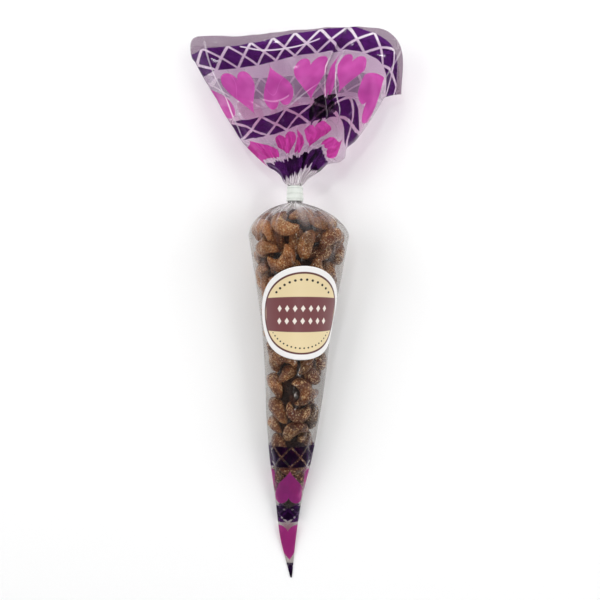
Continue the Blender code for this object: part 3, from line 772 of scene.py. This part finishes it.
rows = CONE_ROWS + DOME_ROWS + NECK_ROWS + MOUTH_ROWS
film, grid = new_sheet("film", AROUND, rows)
around = (grid[:, 0] + 1) / 2
row = np.rint((grid[:, 1] + 1) / 2 * rows).astype(int)
cone = np.linspace(0.2 * MM, SHOULDER, CONE_ROWS)
dome = SHOULDER + (NECK_START - SHOULDER) * np.sin(np.linspace(0, math.pi / 2, DOME_ROWS + 1))[1:]
neck = np.linspace(NECK_START, NECK_END, NECK_ROWS + 1)[1:]
distances = np.concatenate([cone, dome, neck])
shares = FAN_FIRST + (1 - FAN_FIRST) * np.linspace(0, 1, MOUTH_ROWS + 1) ** 1.1
below = row < len(distances)
points = np.zeros_like(grid)
printed = np.zeros_like(grid)
distance = distances[np.minimum(row, len(distances) - 1)]
share = shares[np.clip(row - len(distances), 0, MOUTH_ROWS)]
points[below] = cone_film(around[below], distance[below])
points[~below] = mouth_film(around[~below], share[~below])
printed[below] = np.stack(cone_print(around[below], distance[below]), -1)
printed[~below] = np.stack(mouth_print(around[~below], share[~below]), -1)
film.data.vertices.foreach_set("co", points.ravel())
set_print(film, printed[:, :2])
front, across = fan_across(around)
on_front = front & ~below
back_ink = BACK_INK * (BACK_INK_BY_TIE + (1 - BACK_INK_BY_TIE) * smoothstep(*PAST_TIE, share))
near_neck = smoothstep(NECK_START - 10 * MM, NECK_START + 2 * MM, distance)
on_dome = 0.25 * smoothstep(SHOULDER - 4 * MM, NECK_START - 8 * MM, distance) + 0.75 * near_neck
past_white = smoothstep(0.025, 0.06, share - ASKEW * across)
on_mouth = 1 - 0.8 * past_white - 0.2 * smoothstep(0.14, 0.34, share)
off_patch = np.hypot(*(
    (place - middle) / size
    for place, middle, size in zip((across, share), CRUSHED, CRUSHED_SIZE)
))
stored_values = {
    "turn": around,
    "share": np.where(below, 0.0, share),
    "across": np.where(on_front, across, 0.5),
    "cells": printed[:, 2],
    "ink": np.where(front | below, 1.0, back_ink),
    "gathered": np.where(below, on_dome, on_mouth),
    "inside pleat": np.where(on_front, pleat_place(across, share), -1.0),
    "crushed": np.maximum(CRUSHED_FADES - off_patch, 0) * on_front,
}
for name, values in stored_values.items():
    stored = film.data.attributes.new(name, "FLOAT", "POINT")
    stored.data.foreach_set("value", values.astype(np.float32))
close_seam(film, (np.abs(around - 0.5) > 0.4999) | (row == 0), 0.01 * MM)

# Printed polypropylene film. Clear and glossy, a little milky where it is seen edge on;
# the inks are transparent magenta and a nearly solid purple.
SOFT_EDGE = (-0.15, 0.15)  # millimetres either side of a printed edge
printed_film, node = new_material("polypropylene film, gravure printed")
place_on_print = node("UVMap", uv_map="print")
place = node("SeparateXYZ", place_on_print)
u, v = place.outputs["X"], place.outputs["Y"]
on_film = {n: node("Attribute", attribute_name=n).outputs["Fac"] for n in stored_values}
turn, share_out, across_fan = on_film["turn"], on_film["share"], on_film["across"]
ink, gathered, inside_pleat = on_film["ink"], on_film["gathered"], on_film["inside pleat"]

# The bands: a lattice of clear lines on purple, which cross at the edges and in the middle.
period = node("DIVIDE", v, PRINT_PERIOD)
band_y = node("SUBTRACT", period, node("ROUND", period))
band_y = node("ABSOLUTE", node("MULTIPLY", band_y, PRINT_PERIOD))
in_band = node("MapRange", node("SUBTRACT", BAND_HEIGHT / 2, band_y), *SOFT_EDGE)
cell = node("FRACT", on_film["cells"])
cell_x = node("ABSOLUTE", node("SUBTRACT", cell, 0.5))
rise = node("MULTIPLY", band_y, 1 / BAND_HEIGHT)
slant = math.sin(math.atan2(BAND_HEIGHT, CELL_WIDTH)) * CELL_WIDTH
from_line = node("MULTIPLY", node("ABSOLUTE", node("SUBTRACT", cell_x, rise)), slant)
off_line = node("MapRange", node("SUBTRACT", from_line, LINE_WIDTH / 2), *SOFT_EDGE)
lattice = node("MULTIPLY", in_band, off_line)

# The hearts, on the print's scale. Each is two round lobes over a flank that narrows to a
# leaning point, and every second one stands on its head.
HEART_HALF_WIDTH = 13.2
HEART_POINT = -15.0  # height of its point, from its middle
HEART_LEAN = 3.6  # how far the point leans aside
LEANS = (0.6, 0.75, 1.0, -1.8)  # places across: the hearts by the flap lean back more
LOBE_MIDDLE = 7.0  # height of the lobes' middles
LOBE_OFFSET = 6.4  # from the heart's middle line
LOBE_RADII = (6.8, 7.6)  # across and up
heart_row = node("FLOOR", period)
heart_y = node("SUBTRACT", node("SUBTRACT", period, heart_row), 0.5)
heart_y = node("MULTIPLY", heart_y, PRINT_PERIOD)
pitch = node("DIVIDE", u, HEART_PITCH)
heart_index = node("ROUND", pitch)
heart_x = node("MULTIPLY", node("SUBTRACT", pitch, heart_index), HEART_PITCH)
odd = node("PINGPONG", node("ADD", heart_row, heart_index), 1.0)
upright = node("MULTIPLY_ADD", odd, 2.0, -1.0)
heart_x = node("MULTIPLY", heart_x, upright)
heart_y = node("MULTIPLY", heart_y, upright)
flank = node("MapRange", heart_y, HEART_POINT, LOBE_MIDDLE)
width = node("SINE", node("MULTIPLY", flank, math.pi / 2))
width = node("MULTIPLY", node("POWER", width, 1.5), HEART_HALF_WIDTH)
lean = node("MULTIPLY", node("POWER", node("SUBTRACT", 1.0, flank), 2.0), HEART_LEAN)
in_mouth = node("GREATER_THAN", v, MOUTH_BAND * PRINT_PERIOD - 9)
leaning = node("MULTIPLY", node("MapRange", across_fan, *LEANS), in_mouth)
lean = node("MULTIPLY", lean, leaning)
out = node("ABSOLUTE", node("SUBTRACT", heart_x, lean))
below_lobes = node("SUBTRACT", LOBE_MIDDLE, heart_y)
body_depth = node("MINIMUM", node("SUBTRACT", width, out), below_lobes)
lobe_x = node("SUBTRACT", node("ABSOLUTE", heart_x), LOBE_OFFSET)
lobe_x = node("DIVIDE", lobe_x, LOBE_RADII[0])
lobe_y = node("DIVIDE", below_lobes, LOBE_RADII[1])
lobe = node("VectorMath.LENGTH", node("CombineXYZ", lobe_x, lobe_y))
lobe_depth = node("SUBTRACT", 1.0, lobe.outputs["Value"])
lobe_depth = node("MULTIPLY", lobe_depth, LOBE_RADII[0])
heart = node("MapRange", node("MAXIMUM", body_depth, lobe_depth), *SOFT_EDGE)

# The tip and the mouth are printed. The cone between them and the rim's margin are clear.
low_print = node("LESS_THAN", v, PRINT_PERIOD + BAND_HEIGHT / 2 + 1)
margin = node("GREATER_THAN", v, (MOUTH_BAND + 2) * PRINT_PERIOD + BAND_HEIGHT / 2)
high_print = node("SUBTRACT", in_mouth, margin)
has_print = node("MULTIPLY", node("MAXIMUM", low_print, high_print), ink)
lattice = node("MULTIPLY", lattice, has_print)
heart = node("MULTIPLY", node("MULTIPLY", heart, has_print), ink)

# Gathered film shows white strands, and flat film shows a few fine creases: thin white lines,
# partly the whitening of creased film and partly painted highlights.
STRANDS = (60, 0.02, 0)  # in a full turn, and along in a millimetre of print
CREASES = (0.022, 0.014, 0)  # in a millimetre of print, across and along
strands = node("VectorMath.MULTIPLY", node("CombineXYZ", turn, v), STRANDS)
strands = node("TexNoise", Vector=strands, Scale=1.0, Detail=2.0)
strands = node("MULTIPLY", node("MapRange", strands, 0.45, 0.62, 0.0, 0.8), gathered)
crease_white_and_glint = node("VectorMath.MULTIPLY", place_on_print, CREASES)
crease_white_and_glint = node("TexNoise", Vector=crease_white_and_glint, Scale=1.0, Detail=1.0)
crease_white_and_glint = node("ABSOLUTE", node("SUBTRACT", crease_white_and_glint, 0.5))
crease_white_and_glint = node("MULTIPLY", node("MapRange", crease_white_and_glint, 0.0, 0.003, 0.16, 0.0), in_mouth)
# Along sharp folds the film has thin painted highlights, with some of the film's own whitening:
# straight lines over the reach of the fan, each with the place across at the neck, its slope,
# where it begins and ends and how bright it is.
FOLDS = (
    (-0.02, 0.097, 0.3, 1.0, 0.4), (1.15, -0.27, 0.6, 1.1, 0.35),
    (-0.295, 1.416, 0.46, 0.68, 0.3),
)
FOLD_WIDTH = 0.0035
FOLD_FADES = 0.1  # share over which a fold begins and ends
PLEAT_GLINT = (0.34, 0.42, 0.0, 0.4)  # shares where the painted highlights on the pleat's edges begin, how bright
PLEAT_GLINT_ENDS = (0.8, 0.88, 1.0, 0.0)
for start, slope, begins, ends, brightness in FOLDS:
    line = node("MULTIPLY_ADD", share_out, -slope, across_fan)
    line = node("COMPARE", line, start, FOLD_WIDTH * math.hypot(1, slope))
    fade = node("MapRange", share_out, begins, begins + FOLD_FADES, 0.0, brightness)
    line = node("MULTIPLY", line, fade)
    fade = node("MapRange", share_out, ends - FOLD_FADES, ends, 1.0, 0.0)
    line = node("MULTIPLY", line, fade)
    crease_white_and_glint = node("MAXIMUM", crease_white_and_glint, line)
for side in (0.0, 1.0):
    line = node("COMPARE", inside_pleat, side, 0.05)
    for fade in (PLEAT_GLINT, PLEAT_GLINT_ENDS):
        line = node("MULTIPLY", line, node("MapRange", share_out, *fade))
    crease_white_and_glint = node("MAXIMUM", crease_white_and_glint, line)
# And painted highlights along two bows: the share and the place across of the bow's middle, how
# strongly it bends, half its width across and how bright it is.
BOWS = ((0.889, 0.38, 1.3, 0.18, 0.6), (0.55, 0.33, 3.0, 0.1, 0.2))
BOW_WIDTH = 0.005
for level, centre, bend, half, brightness in BOWS:
    aside = node("SUBTRACT", across_fan, centre)
    line = node("MULTIPLY_ADD", node("POWER", aside, 2.0), bend, level)
    line = node("COMPARE", line, share_out, BOW_WIDTH)
    line = node("MULTIPLY", line, node("COMPARE", aside, 0.0, half))
    line = node("MULTIPLY", line, brightness)
    crease_white_and_glint = node("MAXIMUM", crease_white_and_glint, line)

# Crushed film, with painted shade: each shard of crumpled purple ink is painted dark purple or
# nearly black, as if it turned to or from the light, and the crushed patch is painted nearly
# black, as a deep fold in shadow over the ink stacked in its layers. The shards are small in the
# band by the tie and large in the crushed patch.
SHARDS = (56, 16, 0)  # in a full turn, and over the reach
LARGE_SHARDS = (38, 7, 0)
SHARD_BAND_ENDS = 0.3  # share where the band by the tie is surely past
on_fan = node("CombineXYZ", turn, share_out)
small, large = (node("VectorMath.MULTIPLY", on_fan, size) for size in (SHARDS, LARGE_SHARDS))
small, large = (
    node("TexVoronoi", Vector=place, Scale=1.0, feature="F1").outputs["Color"]
    for place in (small, large)
)
small = node("SeparateColor", small).outputs["Red"]
large = node("SeparateColor", large)
by_tie = node("LESS_THAN", share_out, SHARD_BAND_ENDS)
by_tie = node("MULTIPLY", node("MULTIPLY", by_tie, in_mouth), lattice)
crumple_shade_by_tie = node("MULTIPLY", node("MapRange", small, 0.05, 0.5, 0.0, 0.97), by_tie)
crushed = node("MULTIPLY_ADD", large.outputs["Red"], 0.6, on_film["crushed"])
crushed_patch_shade = node("MapRange", crushed, 0.85, 0.88, 0.0, 0.97)
line_shows = node("MapRange", off_line, 0.0, 1.0, 0.9, 1.0)
crushed_patch_shade = node("MULTIPLY", crushed_patch_shade, line_shows)
crumple_shade = node("MAXIMUM", crumple_shade_by_tie, crushed_patch_shade)

# What the film lets through: each tint covers the last where its factor is 1. The last two tints
# are painted shade.
edge_on = node("LayerWeight", Blend=0.5).outputs["Facing"]
clear_tint = node("Mix.RGBA", in_mouth, colour("e6e4e2"), colour("f3eaf2"))
front_margin = node("MULTIPLY", margin, node("GREATER_THAN", ink, 0.9))
magenta = node("Mix.RGBA", in_mouth, colour("c4488f"), colour("ec66c4"))
# Painted shade of the shards: at random each is nearly black or dark purple, as if turned from or
# to the light.
lit_shard = node("MapRange", large.outputs["Green"], 0.35, 0.75)
shaded_ink = node("Mix.RGBA", lit_shard, colour("12061a"), colour("5c2870"))
past_tie = node("MapRange", share_out, *PAST_TIE)
# Painted shadow inside the pleat: the film is tinted darker near the pleat's left edge, where the
# fold shades it.
shade = node("MapRange", inside_pleat, 0.0, 0.6, 0.45, 0.0)
shade = node("MULTIPLY", shade, node("GREATER_THAN", inside_pleat, 0.0))
shade = node("MULTIPLY", shade, past_tie)
see_through = clear_tint
for factor, tint in (
    (front_margin, colour("a493a1")), (heart, magenta), (lattice, colour("5c2672")),
    (crumple_shade, shaded_ink), (shade, colour("30202e")),
):
    see_through = node("Mix.RGBA", factor, see_through, tint)

# What it scatters back: milky plastic, the inks' own colours with painted shade on the crushed
# film and the hearts, and white folds with painted highlights.
# Painted shade on the hearts by the rim: a broad noise makes them lighter and darker magenta, as
# the film's waves would under the light.
heart_wrinkle_shade = node("TexNoise", Vector=place_on_print, Scale=0.08, Detail=1.0)
heart_wrinkle_shade = node("MapRange", heart_wrinkle_shade, 0.35, 0.65)
high_heart = node("Mix.RGBA", heart_wrinkle_shade, colour("d060b4"), colour("b8489e"))
# Painted shade on the hearts by the tie: each shard of film is lighter or darker magenta, as if
# turned to or from the light.
low_heart = node("Mix.RGBA", small, colour("d244aa"), colour("a8247e"))
heart_body = node("Mix.RGBA", past_tie, low_heart, high_heart)
heart_body = node("Mix.RGBA", in_mouth, colour("bc409c"), heart_body)
# Painted highlights: the film's body turns pale where the folds and creases are painted as
# catching light.
fold_white_and_glint = node("MapRange", crease_white_and_glint, 0.1, 0.5)
body = colour("e8e4e6")
for factor, tint in (
    (heart, heart_body), (lattice, colour("3c1450")), (crumple_shade, colour("160a1c")),
    (fold_white_and_glint, colour("efe2ec")),
):
    body = node("Mix.RGBA", factor, body, tint)

# How much it scatters, a milk that grows towards the film's edge on and takes in the painted fold
# highlights, and how it shines.
milk = node("MULTIPLY_ADD", node("POWER", edge_on, 3.0), 0.22, 0.005)
milk = node("MULTIPLY_ADD", gathered, 0.02, milk)
milk = node("ADD", node("ADD", milk, strands), crease_white_and_glint)
milk = node("MULTIPLY", milk, node("MapRange", crumple_shade, 0.0, 1.0, 1.0, 0.3))
heart_cover = node("MapRange", in_mouth, 0.0, 1.0, 0.38, 0.55)
cover = node("MULTIPLY_ADD", heart, heart_cover, milk)
cover = node("MULTIPLY_ADD", lattice, 0.08, cover, use_clamp=True)
clear = node("BsdfTransparent", see_through)
sheet = node("MixShader", cover, clear, node("BsdfDiffuse", body))
shimmer = node("MULTIPLY_ADD", node("POWER", edge_on, 5.0), 0.8, 0.01)
gloss = node("BsdfAnisotropic", Color=colour("ffffff"), Roughness=0.12)
node("OutputMaterial", node("MixShader", shimmer, sheet, gloss))

clear_film, node = new_material("polypropylene film, inner face")
edge_on = node("LayerWeight", Blend=0.5).outputs["Facing"]
shimmer = node("MULTIPLY_ADD", node("POWER", edge_on, 5.0), 0.5, 0.007)
gloss = node("BsdfAnisotropic", Color=colour("ffffff"), Roughness=0.15)
clear = node("BsdfTransparent", colour("ffffff"))
node("OutputMaterial", node("MixShader", shimmer, clear, gloss))
film.data.materials.append(printed_film)
film.data.materials.append(clear_film)
thicken(film, FILM_THICKNESS, offset=-1, material_offset=1, use_even_offset=False)
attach(film, "root")
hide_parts("bag")

# The tie. A strip of white glossy tape wound three times round the gathered neck, each
# turn half over the last, so that its edges climb the band as thin grey lines.
TIE_FROM = 272 * MM
TIE_LENGTH = 11 * MM
TIE_WALL = 1.0 * MM
TIE_TURNS = 3
GAP = 0.3 * MM  # between the film and what is wound or stuck on it
TAPE_STEP = 0.45 * MM  # height of the tape's free edge
TAPE_EDGE = 12  # how much steeper that edge falls than the tape climbs
TIE_ENDS = 0.06  # share of the band over which it rises from the neck

tie_band, grid = new_sheet("tie_band", 96, 60)
angle = math.pi * grid[:, 0]
along = (grid[:, 1] + 1) / 2
distance = TIE_FROM + TIE_LENGTH * along
climb = along * TIE_TURNS + angle / (2 * math.pi) + 0.15 * np.sin(angle)
step = 1 - (climb - np.floor(climb))
full = smoothstep(0, TIE_ENDS, along) * smoothstep(0, TIE_ENDS, 1 - along)
tape_top = TAPE_STEP * np.minimum(step, (1 - step) * TAPE_EDGE)
radius = section(distance)[0] + (GAP + TIE_WALL * 0.55 + tape_top) * full
x, z = NECK_X - radius * np.sin(angle), NECK_HEIGHT - radius * np.cos(angle)
points = np.stack([x, distance - MIDDLE_FROM_TIP, z], -1)
tie_band.data.vertices.foreach_set("co", points.ravel())
close_seam(tie_band, np.full(len(points), True), 0.02 * MM)
thicken(tie_band, TIE_WALL * 0.5, offset=-1)

# White vinyl tape, soft and half glossy, a little smudged and stretched along the neck.
tape, node = new_material("white vinyl tape")
place = node("TexCoord").outputs["Object"]
stretch = node("Mapping", place, Scale=(1.0, 0.25, 1.0))
smudge = node("TexNoise", Vector=stretch, Scale=1 / (1.5 * MM), Detail=3.0)
tone = node("Mix.RGBA", smudge, colour("c6ccc6"), colour("e2e6e0"))
bump = node("Bump", Height=smudge, Strength=0.4, Distance=0.2 * MM)
vinyl = node("BsdfPrincipled", Base_Color=tone, Roughness=0.35, Normal=bump)
node("OutputMaterial", vinyl)
tie_band.data.materials.append(tape)
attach(tie_band, "root")
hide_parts("tie")

# The label. A round sticker of coated paper that follows the film. A white edge, a thin
# maroon ring, cream fields and a maroon band with bowed sides, with a plain ornament.
LABEL_THICKNESS = 0.3 * MM
LABEL_SLOPE = math.radians(14)
# The print, in millimetres from the label's middle.
RING_RADIUS = 28.9
FIELD_RADIUS = 27.6
MAROON_HALF_WIDTH = 27.2
MAROON_HALF_HEIGHT = 12.4
MAROON_MIDDLE = -0.6
MAROON_BOW = 0.0013  # of the band's edges, by the square of the place across
# Rows of lozenges: height, pitch, half width and half height of each.
LOZENGE_ROWS = ((3.6, 5.2, 1.5, 2.4), (-5.2, 5.2, 1.5, 2.4))
LOZENGES_REACH = 18.2
# Arcs of dots: radius, dots in a full turn, dot radius, and the share of the radius above or
# below which the arc runs.
DOT_ARCS = ((23.6, 39, 0.85, 0.60), (24.4, 54, 0.6, -0.55))

paper_label, grid = new_sheet("paper_label", 80, 80)
across = grid[:, 0] * np.sqrt(1 - grid[:, 1] ** 2 / 2) * LABEL_DIAMETER / 2
up = grid[:, 1] * np.sqrt(1 - grid[:, 0] ** 2 / 2) * LABEL_DIAMETER / 2
distance = LABEL_FROM_TIP + up * math.cos(LABEL_SLOPE)
half_width, half_height, shift, middle = section(distance)
angle = math.pi / 2 - (across + LABEL_SHIFT) / ((half_width + half_height) / 2)
points = np.stack([
    shift + (half_width + GAP) * np.cos(angle), distance - MIDDLE_FROM_TIP,
    middle + (half_height + GAP) * np.sin(angle),
], -1)
paper_label.data.vertices.foreach_set("co", points.ravel())
set_print(paper_label, np.stack([across, up], -1) / MM)
thicken(paper_label, LABEL_THICKNESS, offset=1)

# Coated label paper, offset printed, with the low even gloss of its coating.
coated, node = new_material("coated label paper, offset printed")
place = node("UVMap", uv_map="print")
reach = node("VectorMath.LENGTH", place).outputs["Value"]
place = node("SeparateXYZ", place)
x, y = place.outputs["X"], place.outputs["Y"]
aside = node("ABSOLUTE", x)
band_y = node("ABSOLUTE", node("SUBTRACT", y, MAROON_MIDDLE))
bow = node("MULTIPLY", node("POWER", x, 2.0), MAROON_BOW)
band_y = node("ADD", band_y, bow)
in_ring, in_field, in_rows, in_width, in_height = (
    node("MapRange", node("SUBTRACT", limit, measure), *SOFT_EDGE)
    for limit, measure in (
        (RING_RADIUS, reach), (FIELD_RADIUS, reach), (LOZENGES_REACH, aside),
        (MAROON_HALF_WIDTH, aside), (MAROON_HALF_HEIGHT, band_y),
    )
)
in_band = node("MULTIPLY", in_width, in_height)
lozenges = 0.0
for row_y, row_pitch, half_wide, half_high in LOZENGE_ROWS:
    along = node("ADD", node("DIVIDE", x, row_pitch), 0.5)
    along = node("ABSOLUTE", node("SUBTRACT", node("FRACT", along), 0.5))
    along = node("MULTIPLY", along, row_pitch / half_wide)
    off_row = node("ABSOLUTE", node("SUBTRACT", y, row_y))
    lozenge = node("MULTIPLY_ADD", off_row, 1 / half_high, along)
    lozenge = node("MapRange", node("SUBTRACT", 1.0, lozenge), -0.1, 0.1)
    lozenges = node("MAXIMUM", lozenge, lozenges)
lozenges = node("MULTIPLY", lozenges, in_rows)
bearing = node("ARCTAN2", x, y)
dots = 0.0
for ring, dots_in_turn, dot, above in DOT_ARCS:
    pitch = 2 * math.pi / dots_in_turn
    step = node("FRACT", node("DIVIDE", bearing, pitch))
    sideways = node("MULTIPLY", node("SUBTRACT", step, 0.5), pitch * ring)
    outwards = node("SUBTRACT", reach, ring)
    far = node("VectorMath.LENGTH", node("CombineXYZ", sideways, outwards))
    round_dot = node("SUBTRACT", dot, far.outputs["Value"])
    round_dot = node("MapRange", round_dot, -0.12, 0.12)
    side = "GREATER_THAN" if above > 0 else "LESS_THAN"
    arc = node(side, y, ring * above)
    dots = node("MAXIMUM", node("MULTIPLY", round_dot, arc), dots)
maroon = node("Mix.RGBA", lozenges, colour("764548"), colour("efe6dc"))
cream = node("Mix.RGBA", dots, colour("e6d3a8"), colour("2a2420"))
cream = node("Mix.RGBA", in_band, cream, maroon)
ringed = node("Mix.RGBA", in_field, colour("5c2e30"), cream)
edged = node("Mix.RGBA", in_ring, colour("efedec"), ringed)
paper = node("BsdfPrincipled", Base_Color=edged, Roughness=0.42, IOR=1.5)
node("OutputMaterial", paper)
paper_label.data.materials.append(coated)
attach(paper_label, "root")
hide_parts("label")
